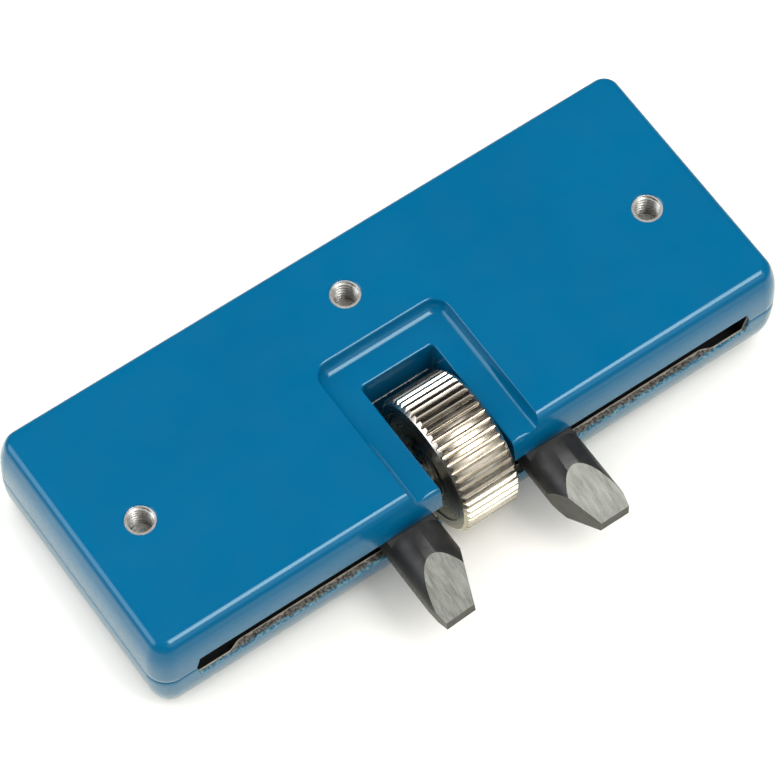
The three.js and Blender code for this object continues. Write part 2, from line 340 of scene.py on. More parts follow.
PAINT = (0.0, 0.089, 0.192)
PAINT_DEEP = (0.0, 0.083, 0.181)
PAINT_DUST = (0.2, 0.42, 0.46)
PAINT_SHEEN = (0.75, 1, 1, 1)
PAINT_ROUGHNESS = (0.1, 0.17)
CASTING_DARK = (0.04, 0.038, 0.035)
CASTING_LIGHT = (0.42, 0.4, 0.36)
# Light line along the lip's back edge: rubbed metal and a painted highlight
CASTING_RUBBED_HIGHLIGHT = (0.72, 0.64, 0.52)
# Painted shade inside the channel, behind the lip
CASTING_PAINTED_SHADE = (0.02, 0.02, 0.02)
CASTING_METALLIC = 0.55
CASTING_ROUGHNESS = (0.6, 0.3)
EDGE_WANDER = 0.12  # of the rubbed edge and its painted highlight, either way
EDGE_RUBBED_HIGHLIGHT = (-0.22, -0.14)  # from the lip's back edge, where the rubbed edge and its painted highlight fade in
# How soon the painted shade comes in behind the lip
PAINTED_SHADE_BLEND = 0.05
DUST_REACH = (0.1, 0.65)  # behind the front wall, where the paint dust fades
DUST_LEVEL = 0.5
DUST_SPECKS = (0.78, 0.83)
NICKEL_LIGHT = (0.68, 0.63, 0.54)
NICKEL_DARK = (0.56, 0.5, 0.41)
NICKEL_ROUGHNESS = (0.22, 0.34)
FACED_NICKEL = (0.5, 0.48, 0.44)
FACED_ROUGHNESS = (0.16, 0.34)
OXIDE_DARK = (0.02, 0.02, 0.021)
OXIDE_LIGHT = (0.04, 0.039, 0.037)
OXIDE_ROUGHNESS = (0.34, 0.48)
GROUND_DARK = (0.1, 0.1, 0.085)
GROUND_LIGHT = (0.21, 0.215, 0.19)
# The bevels' ground steel, darker than the flats': painted shade
BEVEL_SHADE_DARK = (0.035, 0.035, 0.034)
BEVEL_SHADE_LIGHT = (0.07, 0.071, 0.069)
GROUND_ROUGHNESS = (0.34, 0.52)
ZINC_LIGHT = (0.66, 0.65, 0.62)
ZINC_DARK = (0.48, 0.46, 0.41)
ZINC_ROUGHNESS = (0.2, 0.42)
# Painted shade in the deep part of a tapped thread's groove
GROOVE_SHADE_COLOUR = (0.03, 0.03, 0.028)


def principled(name, colour, metallic, roughness, **sockets):
    """A material, its node tree and its shader."""
    material = bpy.data.materials.new(name)
    material.use_nodes = True
    shader = material.node_tree.nodes["Principled BSDF"]
    shader.inputs["Base Color"].default_value = (*colour, 1)
    shader.inputs["Metallic"].default_value = metallic
    shader.inputs["Roughness"].default_value = roughness
    for socket, value in sockets.items():
        shader.inputs[socket.replace("_", " ")].default_value = value
    return material, material.node_tree, shader


def feed(tree, shader, **sockets):
    """Links a value to each named socket of the shader."""
    for socket, value in sockets.items():
        tree.links.new(value, shader.inputs[socket.replace("_", " ")])


def node(tree, kind, inputs=None, **settings):
    """A node with its settings made and its inputs linked or set."""
    made = tree.nodes.new(kind)
    for key, value in settings.items():
        setattr(made, key, value)
    for key, value in (inputs or {}).items():
        if isinstance(value, bpy.types.NodeSocket):
            tree.links.new(value, made.inputs[key])
        else:
            made.inputs[key].default_value = value
    return made


def maths(tree, operation, *values):
    return node(tree, "ShaderNodeMath", dict(enumerate(values)), operation=operation).outputs[0]


def vector_maths(tree, operation, *values):
    made = node(tree, "ShaderNodeVectorMath", dict(enumerate(values)), operation=operation)
    return made.outputs["Value" if operation in ("LENGTH", "DOT_PRODUCT") else "Vector"]


def object_coordinates(tree, scale=(1, 1, 1)):
    place = node(tree, "ShaderNodeTexCoord")
    mapping = node(tree, "ShaderNodeMapping", {"Vector": place.outputs["Object"], "Scale": scale})
    return mapping.outputs["Vector"]


def noise(tree, vector, scale, detail=3.0, roughness=0.55):
    made = node(
        tree,
        "ShaderNodeTexNoise",
        {"Vector": vector, "Scale": scale, "Detail": detail, "Roughness": roughness},
    )
    return made.outputs["Fac"]


def remap(tree, value, low, high, to_low, to_high):
    """The value moved from one range to another, and held within it."""
    made = node(
        tree,
        "ShaderNodeMapRange",
        {"Value": value, 1: low, 2: high, 3: to_low, 4: to_high},
        clamp=True,
    )
    return made.outputs["Result"]


def mix_colour(tree, factor, first, second):
    made = node(tree, "ShaderNodeMix", data_type="RGBA")
    for key, value in (("Factor", factor), (6, first), (7, second)):
        if isinstance(value, bpy.types.NodeSocket):
            tree.links.new(value, made.inputs[key])
        else:
            made.inputs[key].default_value = (*value, 1) if isinstance(value, tuple) else value
    return made.outputs[2]


def two_tone(tree, value, low, high, first, second):
    """The first colour up to the low value, the second from the high one, and a blend between."""
    return mix_colour(tree, remap(tree, value, low, high, 0, 1), first, second)


def bump(tree, shader, height, strength, distance, below=None):
    """Relief of a height in millimetres, on top of the relief below it."""
    inputs = {"Height": height, "Strength": strength, "Distance": distance * MM}
    if below is not None:
        inputs["Normal"] = below
    made = node(tree, "ShaderNodeBump", inputs)
    tree.links.new(made.outputs["Normal"], shader.inputs["Normal"])
    return made.outputs["Normal"]


def blue_paint():
    """Gloss paint: faint patches of colour, a slight haze and a fine orange peel."""
    material, tree, shader = principled("blue_paint", PAINT, 0.0, PAINT_ROUGHNESS[0], IOR=1.48)
    shader.inputs["Specular Tint"].default_value = PAINT_SHEEN
    place = object_coordinates(tree)
    patches = noise(tree, place, scale=70, detail=2)
    colour = two_tone(tree, patches, 0.35, 0.65, PAINT_DEEP, PAINT)
    haze = noise(tree, place, scale=260, detail=4)
    feed(tree, shader, Base_Color=colour, Roughness=remap(tree, haze, *MIDDLE, *PAINT_ROUGHNESS))
    ripple = bump(tree, shader, noise(tree, place, scale=700, detail=2), 0.12, 0.012)
    bump(tree, shader, noise(tree, place, scale=2600, detail=2), 0.1, 0.004, ripple)
    return material


def lip_back(tree, x):
    """Where the lip ends behind the front wall: nearer in the relief at either end."""
    across = maths(tree, "ABSOLUTE", x)
    reach = (RELIEF_START - RELIEF_BLEND / 2) * MM, (RELIEF_START + RELIEF_BLEND / 2) * MM
    return remap(tree, across, *reach, (FRONT + LIP) * MM, (FRONT + THIN_LIP) * MM)


def raw_casting():
    """Bare die-cast metal: paint dust at the front wall, a rubbed edge with a painted highlight, and painted
    shade further in.
    """
    finish = CASTING_METALLIC, CASTING_ROUGHNESS[0]
    material, tree, shader = principled("raw_casting", CASTING_LIGHT, *finish)
    vector = object_coordinates(tree)
    grain = noise(tree, vector, scale=3400, detail=5, roughness=0.75)
    blotch = noise(tree, vector, scale=1500, detail=4, roughness=0.7)
    place = node(tree, "ShaderNodeSeparateXYZ", {"Vector": vector}).outputs
    metal = two_tone(tree, grain, 0.4, 0.66, CASTING_DARK, CASTING_LIGHT)
    behind = maths(tree, "SUBTRACT", place["Y"], lip_back(tree, place["X"]))
    wander = remap(tree, blotch, *MIDDLE, -EDGE_WANDER * MM, EDGE_WANDER * MM)
    ragged = maths(tree, "ADD", behind, wander)
    # Lighter line along the lip's back edge: rubbed metal and a painted highlight
    metal = two_tone(tree, ragged, *(edge * MM for edge in EDGE_RUBBED_HIGHLIGHT), metal, CASTING_RUBBED_HIGHLIGHT)
    # Painted shade: near black behind the lip, inside the channel
    metal = two_tone(tree, behind, 0, PAINTED_SHADE_BLEND * MM, metal, CASTING_PAINTED_SHADE)
    reach = [(FRONT + distance) * MM for distance in DUST_REACH]
    spray = maths(tree, "ADD", blotch, remap(tree, place["Y"], *reach, DUST_LEVEL, 0.0))
    dust = remap(tree, spray, *DUST_SPECKS, 0, 1)
    dusty = two_tone(tree, grain, 0.45, 0.6, PAINT, PAINT_DUST)
    feed(
        tree,
        shader,
        Base_Color=mix_colour(tree, dust, metal, dusty),
        Metallic=remap(tree, dust, 0, 1, CASTING_METALLIC, 0.0),
        Roughness=remap(tree, grain, *MIDDLE, *CASTING_ROUGHNESS),
    )
    bump(tree, shader, grain, 0.9, 0.05)
    return material


def nickel():
    """The plated knurl, with fine streaks along the teeth."""
    material, tree, shader = principled("nickel", NICKEL_LIGHT, 1.0, NICKEL_ROUGHNESS[0])
    cloud = noise(tree, object_coordinates(tree), scale=500)
    colour = two_tone(tree, cloud, 0.35, 0.7, NICKEL_LIGHT, NICKEL_DARK)
    streak = noise(tree, object_coordinates(tree, (0.12, 1, 1)), scale=5200)
    feed(tree, shader, Base_Color=colour, Roughness=remap(tree, streak, *MIDDLE, *NICKEL_ROUGHNESS))
    bump(tree, shader, streak, 0.25, 0.006)
    return material


def nickel_face():
    """The wheel's faced sides, with turning marks round the axis."""
    material, tree, shader = principled("nickel_face", FACED_NICKEL, 1.0, FACED_ROUGHNESS[0])
    place = node(tree, "ShaderNodeTexCoord").outputs["Object"]
    away = vector_maths(tree, "SUBTRACT", place, (0, AXIS_Y * MM, SEAM * MM))
    radius = vector_maths(tree, "LENGTH", vector_maths(tree, "MULTIPLY", away, (0, 1, 1)))
    rings = node(tree, "ShaderNodeTexNoise", {"W": radius, "Scale": 9000.0}, noise_dimensions="1D")
    marks = rings.outputs["Fac"]
    feed(tree, shader, Roughness=remap(tree, marks, *MIDDLE, *FACED_ROUGHNESS))
    bump(tree, shader, marks, 0.35, 0.006)
    return material


def black_oxide():
    """The pins' oxide, with turning marks round them."""
    material, tree, shader = principled("black_oxide", OXIDE_LIGHT, 0.4, OXIDE_ROUGHNESS[0])
    cloud = noise(tree, object_coordinates(tree), scale=420, detail=4)
    colour = two_tone(tree, cloud, 0.35, 0.7, OXIDE_DARK, OXIDE_LIGHT)
    rings = noise(tree, object_coordinates(tree, (0.2, 1, 0.2)), scale=4200)
    feed(tree, shader, Base_Color=colour, Roughness=remap(tree, rings, *MIDDLE, *OXIDE_ROUGHNESS))
    bump(tree, shader, rings, 0.2, 0.006)
    return material


def ground_steel(name, dark, light):
    """Bare steel with grinding lines along the pin."""
    material, tree, shader = principled(name, light, 0.5, GROUND_ROUGHNESS[0])
    lines = noise(tree, object_coordinates(tree, (1, 0.04, 0.5)), scale=5200, detail=5, roughness=0.75)
    broad = noise(tree, object_coordinates(tree, (1, 0.06, 0.5)), scale=2200)
    colour = two_tone(tree, maths(tree, "ADD", lines, broad), 0.75, 1.25, dark, light)
    feed(tree, shader, Base_Color=colour, Roughness=remap(tree, lines, *MIDDLE, *GROUND_ROUGHNESS))
    bump(tree, shader, lines, 0.7, 0.02)
    return material


def zinc_steel(name, metallic):
    """Zinc plate, a little cloudy and finely pitted."""
    material, tree, shader = principled(name, ZINC_LIGHT, metallic, ZINC_ROUGHNESS[0])
    place = object_coordinates(tree)
    colour = two_tone(tree, noise(tree, place, scale=800), *MIDDLE, ZINC_LIGHT, ZINC_DARK)
    haze = noise(tree, place, scale=2400)
    feed(tree, shader, Base_Color=colour, Roughness=remap(tree, haze, *MIDDLE, *ZINC_ROUGHNESS))
    bump(tree, shader, noise(tree, place, scale=3000), 0.25, 0.008)
    return material


paint = blue_paint()
casting = raw_casting()
plated = nickel()
plated_face = nickel_face()
oxide = black_oxide()
ground = ground_steel("ground_steel", GROUND_DARK, GROUND_LIGHT)
# A darker copy of the ground steel for the bevels: painted shade
shaded_bevel_steel = ground_steel("bevelled_steel_painted_shade", BEVEL_SHADE_DARK, BEVEL_SHADE_LIGHT)
zinc = zinc_steel("zinc_steel", metallic=1.0)
bright_thread = zinc_steel("bright_thread", metallic=0.6)
flash_metal = zinc_steel("flash_metal", metallic=0.4)
groove_shade = principled("thread_groove_painted_shade", GROOVE_SHADE_COLOUR, metallic=0.3, roughness=0.5)[0]

SHELL_MATERIALS = [paint, casting]
PAINTED, BARE = 0, 1
THREAD_MATERIALS = [bright_thread, groove_shade]
WHEEL_MATERIALS = [plated, plated_face]
PIN_MATERIALS = [oxide, ground, shaded_bevel_steel]
OXIDE, GROUND, SHADED_BEVEL = 0, 1, 2

# ---- Shells ----


def smooth_step(t):
    return t * t * (3 - 2 * t)


def wall_inset(rise):
    """How far a wall leans in at a distance from the seam."""
    return DRAFT * (rise / WALL_TOP) ** WALL_BOW


def body_outline(inset):
    radius = CORNER_RADIUS - inset
    return rounded_outline(LEFT + inset, RIGHT - inset, FRONT + inset, BACK - inset, radius, 12)


def half_profile(up):
    """(inset, distance from the seam) from the seam edge over the face's round edge."""
    seam_round = SEAM_ROUND[up]
    turns = (0, 0.45, 0.9, math.pi / 2)
    profile = [(seam_round * (1 - math.sin(t)), seam_round * (1 - math.cos(t))) for t in turns]
    wall_steps = 8
    for i in range(1, wall_steps + 1):
        rise = seam_round + (WALL_TOP - seam_round) * i / wall_steps
        profile.append((wall_inset(rise), rise))
    lean = math.atan(WALL_BOW * DRAFT / WALL_TOP)
    edge_steps = 7
    for i in range(1, edge_steps + 1):
        turn = lean + (math.pi / 2 - lean) * i / edge_steps
        inset = DRAFT + EDGE_RADIUS * (math.cos(lean) - math.cos(turn))
        rise = EDGE_RADIUS * (math.sin(turn) - math.sin(lean)) / (1 - math.sin(lean))
        profile.append((inset, WALL_TOP + rise))
    return profile


def shell_block(name, up):
    """Half of the body, above the seam for up = 1 and below it for up = -1."""
    profile = [(inset, SEAM + up * height) for inset, height in half_profile(up)]
    if up < 0:
        profile.reverse()
    return solid(name, stacked(body_outline, profile), SHELL_MATERIALS, PAINTED)


def channel_cutter():
    """The channel's outline, its front drawn forward into the relief at each end."""
    steps = 8
    half = [(SLOT_HALF_LENGTH, FRONT + THIN_LIP)]
    for i in range(steps + 1):
        t = i / steps
        x = RELIEF_START + RELIEF_BLEND / 2 - RELIEF_BLEND * t
        half.append((x, FRONT + THIN_LIP + (LIP - THIN_LIP) * smooth_step(t)))
    front = [(-x, y) for x, y in half] + list(reversed(half))
    outline = front + [(SLOT_HALF_LENGTH, CHANNEL_BACK), (-SLOT_HALF_LENGTH, CHANNEL_BACK)]
    rings = prism("z", outline, SEAM - CHANNEL_HALF_HEIGHT, SEAM + CHANNEL_HALF_HEIGHT)
    return solid("channel", rings, SHELL_MATERIALS, BARE)


def slot_cutter():
    """The slot through the front wall, pointed at both ends."""
    point = SLOT_HALF_LENGTH + SLOT_POINT
    low, high = SEAM - SLOT_HALF_HEIGHT, SEAM + SLOT_HALF_HEIGHT
    outline = [
        (-SLOT_HALF_LENGTH, low),
        (SLOT_HALF_LENGTH, low),
        (point, SEAM),
        (SLOT_HALF_LENGTH, high),
        (-SLOT_HALF_LENGTH, high),
        (-point, SEAM),
    ]
    into_channel = 0.01
    rings = prism("y", outline, FRONT - FAR, FRONT + LIP + into_channel)
    return solid("slot", rings, SHELL_MATERIALS, BARE)


def window_cutter():
    """The window's rims are rounded at the pocket's floor and at the bottom face."""

    def outline(inset):
        corner = WINDOW_CORNER - inset
        half = WINDOW_HALF - inset
        return rounded_outline(-half, half, FRONT - FAR, WINDOW_BACK - inset, corner, 6)

    bottom = []
    for turn in quarter_turns(3):
        bottom.append((-WINDOW_RIM * (1 - math.sin(turn)), WINDOW_RIM * (1 - math.cos(turn))))
    top = [(inset, POCKET_FLOOR - height) for inset, height in reversed(bottom)]
    profile = [(-WINDOW_RIM, -FAR)] + bottom + top + [(-WINDOW_RIM, POCKET_FLOOR + FAR)]
    return solid("window", stacked(outline, profile), SHELL_MATERIALS, PAINTED)


def pocket_cutter():
    """A cove runs up from the floor to the wall, and the rim at the top face is rounded."""

    def outline(inset):
        half = POCKET_HALF - inset
        back = POCKET_BACK - inset
        return rounded_outline(-half, half, FRONT - 2 * FAR, back, POCKET_CORNER - inset, 10)

    cove_steps = 7
    profile = []
    for i in range(cove_steps + 1):
        turn = COVE_TURN * i / cove_steps
        share = (1 - math.cos(turn)) / (1 - math.cos(COVE_TURN))
        rise = (POCKET_DEPTH - POCKET_RIM) * share
        profile.append((COVE_RUN * (1 - math.sin(turn)), POCKET_FLOOR + rise))
    for turn in quarter_turns(4)[1:]:
        profile.append((-POCKET_RIM * (1 - math.cos(turn)), TOP - POCKET_RIM * (1 - math.sin(turn))))
    profile.append((-POCKET_RIM, TOP + FAR))
    return solid("pocket", stacked(outline, profile), SHELL_MATERIALS, PAINTED)


def floor_edge_cutter():
    """Rounds the front edge of the pocket's floor, less and less towards the coves."""
    outside = 0.02
    past = 1
    wall = FRONT + wall_inset(POCKET_FLOOR - SEAM) - outside
    end = POCKET_HALF - COVE_RUN
    places = [(distance - end, share) for distance, share in FLOOR_EDGE_FADE]
    places += [(end - distance, share) for distance, share in reversed(FLOOR_EDGE_FADE)]
    rings = []
    for x, share in places:
        r = FLOOR_EDGE * share
        curve = arc((wall + r, POCKET_FLOOR - r), r, 180, 90, 6)
        start = [(wall - past, POCKET_FLOOR + past), (wall - past, POCKET_FLOOR - r)]
        outline = [*start, *curve, (wall + r, POCKET_FLOOR + past)]
        rings.append([(x, y, z) for y, z in outline])
    return outward(solid("floor_edge", rings, SHELL_MATERIALS, PAINTED))


def journal_cutter():
    end = SLOT_HALF_LENGTH + JOURNAL_SOCKET
    rings = turned_rings("x", AXIS, [(JOURNAL_HOLE, -end), (JOURNAL_HOLE, end)], 48)
    return solid("journals", rings, SHELL_MATERIALS, BARE)


def hole_cutters(profile):
    """A turned cutter at each screw's place."""
    cutters = []
    for x, y in screw_places().values():
        rings = turned_rings("z", (x, y, 0), profile, 56)
        cutters.append(solid("hole", rings, SHELL_MATERIALS, PAINTED))
    return cutters


def screw_places():
    places = {}
    for where in ("left", "right", "rear"):
        low, high = box_mm(f"shell_screw_{where}")
        places[where] = ((low.x + high.x) / 2, (low.y + high.y) / 2)
    return places


def upper_shell():
    cutters = [channel_cutter(), slot_cutter(), window_cutter(), journal_cutter()]
    cutters += [pocket_cutter(), floor_edge_cutter()]
    tapped = [
        (TAPPED_RADIUS, SEAM - FAR),
        (TAPPED_RADIUS, TOP - HOLE_CHAMFER),
        (TAPPED_RADIUS + HOLE_CHAMFER, TOP),
        (TAPPED_RADIUS + HOLE_CHAMFER, TOP + FAR),
    ]
    return cut(shell_block("upper_shell_painted", 1), cutters + hole_cutters(tapped))


def lower_shell():
    cutters = [channel_cutter(), slot_cutter(), window_cutter(), journal_cutter()]
    stepped = [
        (COUNTERBORE_RADIUS + HOLE_CHAMFER, -FAR),
        (COUNTERBORE_RADIUS + HOLE_CHAMFER, 0),
        (COUNTERBORE_RADIUS, HOLE_CHAMFER),
        (COUNTERBORE_RADIUS, COUNTERBORE_DEPTH),
        (SHANK_HOLE, COUNTERBORE_DEPTH + HAIR),
        (SHANK_HOLE, SEAM + FAR),
    ]
    return cut(shell_block("lower_shell_painted", -1), cutters + hole_cutters(stepped))


def window_flash():
    """Ragged casting flash where the shells meet at the back of the window."""
    half = WINDOW_HALF - WINDOW_CORNER
    wall = WINDOW_BACK + FLASH_SINK
    ragged = random.Random(FLASH_SEED)
    rings = []
    for i in range(FLASH_STEPS + 1):
        x = -half + 2 * half * i / FLASH_STEPS
        out = FLASH_SIZE * ragged.uniform(0.3, 1)
        z = SEAM + FLASH_SIZE * ragged.uniform(-0.3, 0.3)
        rise = out * FLASH_HEIGHT
        rings.append([(x, wall, z - rise), (x, wall - out - FLASH_SINK, z), (x, wall, z + rise)])
    return outward(solid("window_flash_ragged", rings, [flash_metal]))


# ---- Threads, screws and wheel ----


def thread_drop(turn, station, thread, hand):
    """How far a thread's flank is under its crest, at a turn and a station along the axis."""
    phase = (station / thread["pitch"] - hand * turn / (2 * math.pi)) % 1
    height = min(max(FLANK_SLOPE * abs(2 * phase - 1) - FLANK_FLAT, 0), 1)
    return thread["depth"] * (1 - height)


def helix_rings(axis, centre, reach, thread, hand, count, per_pitch, radius_at, end_rate=1):
    """Rings of a thread. radius_at gets the flank's drop and how full the thread is, up to 1."""
    start, end = reach
    steps = round((end - start) / thread["pitch"] * per_pitch)
    rings = []
    for s in range(steps + 1):
        station = start + (end - start) * s / steps
        full = min(1, s / per_pitch, (steps - s) / per_pitch * end_rate)
        ring = []
        for i in range(count):
            turn = 2 * math.pi * i / count
            radius = radius_at(thread_drop(turn, station, thread, hand), full)
            ring.append(point_about(axis, centre, radius, turn, station))
        rings.append(ring)
    return rings


def outer_thread(axis, centre, reach, thread, hand, count):
    """Rings of a screw's thread, whose crest sinks a little at both ends."""

    def radius_at(drop, full):
        return thread["radius"] - drop - (1 - full) * RUN_OUT_DEPTH * thread["depth"]

    return helix_rings(axis, centre, reach, thread, hand, count, 8, radius_at)


def tapped_rings(centre, reach, count):
    """Rings of a tapped hole's M3 thread, which runs out at both ends."""

    def radius_at(drop, full):
        return TAPPED_CREST + drop + (1 - full) * (TAPPED_RADIUS - TAPPED_CREST - drop)

    return helix_rings("z", centre, reach, M3, 1, count, 14, radius_at, MOUTH_RATE)


def leadscrew():
    """Threads of opposite hands on both sides of the wheel's seat, and a journal at each end."""
    shoulder = SLOT_HALF_LENGTH - LEADSCREW["end_gap"]
    journal, chamfer = LEADSCREW["journal"], LEADSCREW["chamfer"]
    end = screw_high.x
    count = 40
    tip = [(journal - chamfer, end), (journal, end - chamfer), (journal, shoulder)]
    seat = [(LEADSCREW["seat"], wheel_low.x), (LEADSCREW["seat"], wheel_high.x)]
    rings = turned_rings("x", AXIS, [(radius, -station) for radius, station in tip], count)
    rings += outer_thread("x", AXIS, (-shoulder, wheel_low.x), M4, 1, count)
    rings += turned_rings("x", AXIS, seat, count)
    rings += outer_thread("x", AXIS, (wheel_high.x, shoulder), M4, -1, count)
    rings += turned_rings("x", AXIS, reversed(tip), count)
    return soften(solid("leadscrew_threaded", rings, [zinc]), 0.03, 1, 60)


def tapped_thread(where, x, y):
    """A sleeve whose inside is the thread of the tapped hole, with painted shade where the groove is deep.
    """
    low, high = SEAM + SLEEVE_RISE, TOP - HOLE_CHAMFER
    centre = (x, y, 0)
    count = 48
    outside = TAPPED_RADIUS + SLEEVE_WALL
    bottom, top = turned_rings("z", centre, [(outside, low), (outside, high)], count)
    points, faces = band([bottom, *tapped_rings(centre, (low, high), count), top])
    thread = mesh_object(f"tapped_thread_{where}", points, faces, THREAD_MATERIALS)
    thread.data.flip_normals()
    shade_radius = TAPPED_CREST + GROOVE_SHADE_SHARE * M3["depth"]
    for polygon in thread.data.polygons:
        middle = polygon.center / MM
        shaded = shade_radius < (middle.xy - Vector((x, y))).length < TAPPED_RADIUS
        # Painted shade: the deep part of the groove gets the dark material, except near the mouth
        polygon.material_index = int(shaded and middle.z < high - M3["pitch"] / 2)
    return thread


def cross_recess(x, y, face):
    """Two crossed tapering bars that cut a screw's drive, from its end face inwards."""
    half, span = DRIVE["width"] / 2, DRIVE["span"] / 2
    taper = [(DRIVE_TAPER[0][0], -FAR), *DRIVE_TAPER]
    bars = []
    for across, along in ((span, half), (half, span)):
        rings = []
        for grow, depth in taper:
            a, b, z = across + grow, along + grow, face + depth
            rings.append([(x - a, y - b, z), (x + a, y - b, z), (x + a, y + b, z), (x - a, y + b, z)])
        bars.append(solid("recess", rings, [bright_thread]))
    return bars


def shell_screw(where, x, y):
    """A cap screw: threaded shank, turned head with a cross recess."""
    low, high = box_mm(f"shell_screw_{where}")
    seat = low.z + SCREW["height"]
    centre = (x, y, 0)
    count = 48
    head = [(SCREW["head"] - thinner, low.z + rise) for thinner, rise in SCREW_CROWN]
    head += [(SCREW["head"], seat), (SCREW["neck"], seat + HAIR)]
    reach = (seat + SCREW["neck_length"], high.z - SCREW["tip_length"])
    rings = turned_rings("z", centre, head, count)
    rings += outer_thread("z", centre, reach, M3, 1, count)
    rings += turned_rings("z", centre, [(SCREW["tip"], high.z)], count)
    screw = solid(f"shell_screw_{where}_threaded", rings, [bright_thread])
    return soften(cut(screw, cross_recess(x, y, low.z)), 0.05, 2, 40)


def tooth_radius(turn):
    """Knurl cross section: a flat crest and a narrow root with slightly rounded flanks between."""
    phase = (turn * TEETH / (2 * math.pi)) % 1
    away = abs(2 * ((phase + 0.5) % 1) - 1)
    ramp = min(max((away - ROOT_SHARE) / (1 - ROOT_SHARE - CREST_SHARE), 0), 1)
    eased = (1 - FLANK_EASE) * ramp + FLANK_EASE * smooth_step(ramp)
    return WHEEL_RADIUS - TOOTH_DEPTH * (1 - eased)


def thumbwheel():
    """Knurled rim with chamfered ends, and faced sides with a shallow recess round the hub."""
    count = TEETH * TOOTH_SAMPLES
    start, end = wheel_low.x, wheel_high.x
    foot = WHEEL_RADIUS - WHEEL_CHAMFER
    step = (WHEEL_CHAMFER + CHAMFER_OVERRUN) / CHAMFER_STEPS
    ends = [(step * i, foot + step * i) for i in range(CHAMFER_STEPS + 1)]
    stations = [(start + s, limit) for s, limit in ends]
    stations += [(end - s, limit) for s, limit in reversed(ends)]
    turns = [2 * math.pi * i / count for i in range(count)]
    teeth = [(turn, tooth_radius(turn)) for turn in turns]
    rim = []
    for station, limit in stations:
        rim.append([point_about("x", AXIS, min(radius, limit), turn, station) for turn, radius in teeth])
    band_foot = foot - WHEEL_BAND
    recess = start + WHEEL_RECESS
    side = [
        (band_foot, start),
        (band_foot - WHEEL_SLOPE, recess),
        (WHEEL_HUB + WHEEL_SLOPE, recess),
        (WHEEL_HUB, start),
        (WHEEL_BORE, start),
    ]
    near = turned_rings("x", AXIS, reversed(side), count)
    away = turned_rings("x", AXIS, [(radius, start + end - s) for radius, s in side], count)
    points, faces = band(near + rim + away)
    wheel = mesh_object("thumbwheel_knurled", points, faces, WHEEL_MATERIALS)
    rim_levels = range(len(near), len(near) + len(rim) - 1)
    for polygon in wheel.data.polygons:
        polygon.material_index = int(polygon.index // count not in rim_levels)
    sharp = wheel.modifiers.new("sides", "EDGE_SPLIT")
    sharp.split_angle = math.radians(34)
    return wheel


# ---- Pins ----


def tip_cutters(side, centre, tip_y, radius, roll):
    """Wedges that grind the pin's end to a blade, as in the CAD but rolled a little."""
    wide = radius + FAR
    end = tip_y - FAR

    def wedge(toward, run, left):
        """What is taken on one side, from the rod's surface down to what is left at the tip."""
        start = tip_y + run
        past = left + (left - radius) * FAR / run
        return [(toward * radius, start), (toward * past, end), (toward * wide, end), (toward * wide, start)]

    grinds = []
    for up in (1, -1):
        outline = wedge(up, PIN_TIP["flat"], PIN_TIP["thickness"] / 2)
        grinds.append(("x", [(y, z) for z, y in outline], GROUND))
    # The bevels get the darker copy of the ground steel: painted shade
    grinds.append(("z", wedge(-side, PIN_TIP["bevel"], PIN_TIP["inner"]), SHADED_BEVEL))
    grinds.append(("z", wedge(side, PIN_TIP["relief"], PIN_TIP["outer"]), SHADED_BEVEL))
    rolled = Matrix.Rotation(roll, 3, "Y")
    cutters = []
    for axis, outline, finish in grinds:
        rings = []
        for ring in prism(axis, outline, -wide, wide):
            rings.append([tuple(rolled @ Vector(p) + centre) for p in ring])
        cutters.append(outward(solid("wedge", rings, PIN_MATERIALS, finish)))
    return cutters


def neck_cutters(centre, radius):
    """Blocks that leave the flat neck in the slot, one above and one below."""
    wide = radius + FAR
    cutters = []
    for up in (1, -1):
        z0, z1 = sorted((SEAM + up * NECK_HALF, SEAM + up * wide))
        outline = [(NECK_FRONT, z0), (NECK_BACK, z0), (NECK_BACK, z1), (NECK_FRONT, z1)]
        rings = prism("x", outline, centre.x - wide, centre.x + wide)
        cutters.append(outward(solid("neck", rings, PIN_MATERIALS, OXIDE)))
    return cutters


def pin(name, side, roll):
    """A turned rod with a ground tip, a flat neck and a cross hole for the leadscrew."""
    low, high = box_mm(name)
    radius = (high.x - low.x) / 2
    centre = Vector(((low.x + high.x) / 2, 0, SEAM))
    profile = [(radius, low.y)] + [(radius - thinner, high.y - back) for thinner, back in PIN_TAIL]
    rod = solid(f"{name}_ground", turned_rings("y", centre, profile, 72), PIN_MATERIALS, OXIDE)
    outward(rod)
    across = [(PIN_BORE, -radius - FAR), (PIN_BORE, radius + FAR)]
    bore = turned_rings("x", centre + Vector((0, AXIS_Y, 0)), across, 48)
    cutters = tip_cutters(side, centre, low.y, radius, roll) + neck_cutters(centre, radius)
    cutters.append(outward(solid("bore", bore, PIN_MATERIALS, OXIDE)))
    return soften(cut(rod, cutters), EDGE_BREAK, 2, 25)


# ---- The object ----


def add_piece(obj, body, slot, *nodes):
    """Puts the piece under its body and hides the CAD nodes that it stands for. The finish is not used."""
    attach(obj, body)
    if nodes:
        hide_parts(*nodes)


add_piece(soften(upper_shell(), EDGE_BREAK), "housing", "blue_paint", "upper_shell")
add_piece(soften(lower_shell(), EDGE_BREAK), "housing", "blue_paint", "lower_shell")
add_piece(window_flash(), "housing", "blue_paint")
for where, (x, y) in screw_places().items():
    add_piece(shell_screw(where, x, y), "housing", "zinc_steel", f"shell_screw_{where}")
    add_piece(tapped_thread(where, x, y), "housing", "zinc_steel")
add_piece(leadscrew(), "wheel_and_screw", "zinc_steel", "leadscrew")
add_piece(thumbwheel(), "wheel_and_screw", "nickel", "thumbwheel")
add_piece(pin("left_pin", -1, LEFT_PIN_ROLL), "left_pin", "black_oxide", "left_pin")
add_piece(pin("right_pin", 1, 0), "right_pin", "black_oxide", "right_pin")

# ---- Camera ----

CAMERA = {
    "azimuth": -34.187,
    "elevation": 61.912,
    "roll": -0.7346,
    "distance": 434.69,
    "target": (1.571, 2.616, -1.4),
    "lens": 201.87,
    "sensor": 36,
    "nearest": 0.01,
}


